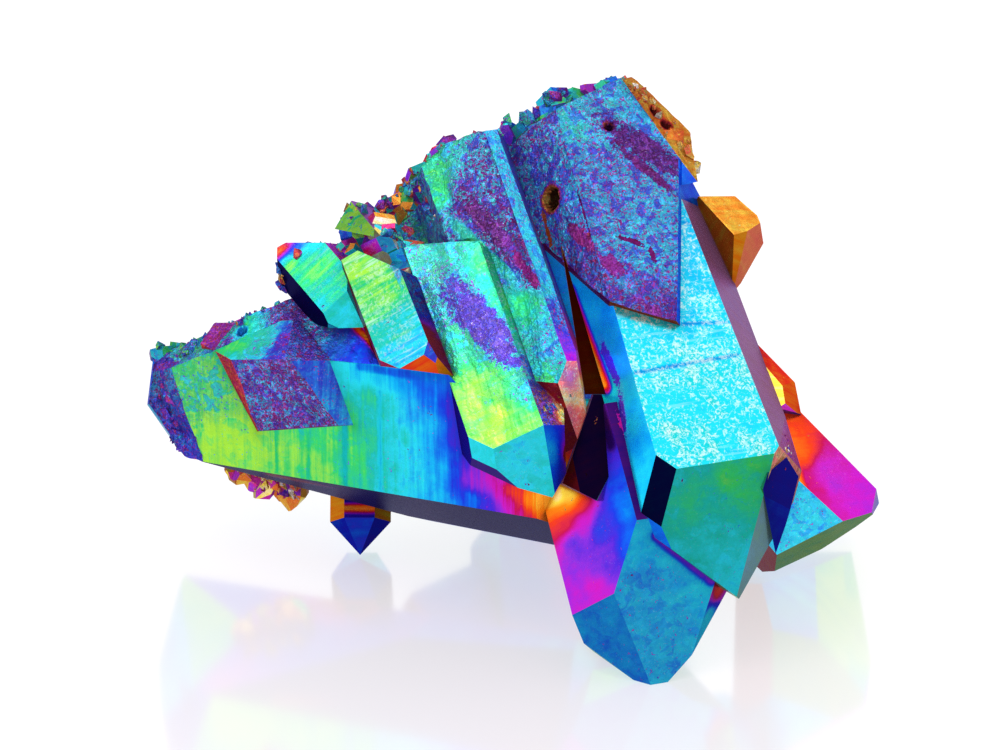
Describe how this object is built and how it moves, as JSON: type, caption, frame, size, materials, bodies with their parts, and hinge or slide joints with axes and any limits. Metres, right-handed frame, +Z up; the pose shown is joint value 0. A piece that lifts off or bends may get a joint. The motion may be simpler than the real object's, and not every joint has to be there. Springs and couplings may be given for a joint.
{
  "type": "rainbow quartz crystal",
  "caption": "Quartz cluster grown as one piece, with slanting six-sided points over a long lying crystal and a rainbow titanium coating.",
  "frame": {"origin": "on the ground under the middle of the cluster's footprint", "axes": "+Z up, +X to the right of the front, +Y to the back; the points lean forward, to -Y"},
  "size_m": [0.093, 0.0622, 0.0629],
  "materials": {
    "coated_quartz": "thin titanium film, mirror-like on the crystal faces and iridescent from yellow through magenta and blue to green"
  },
  "bodies": {
    "root": {"quartz_cluster": "coated_quartz"}
  },
  "joints": []
}
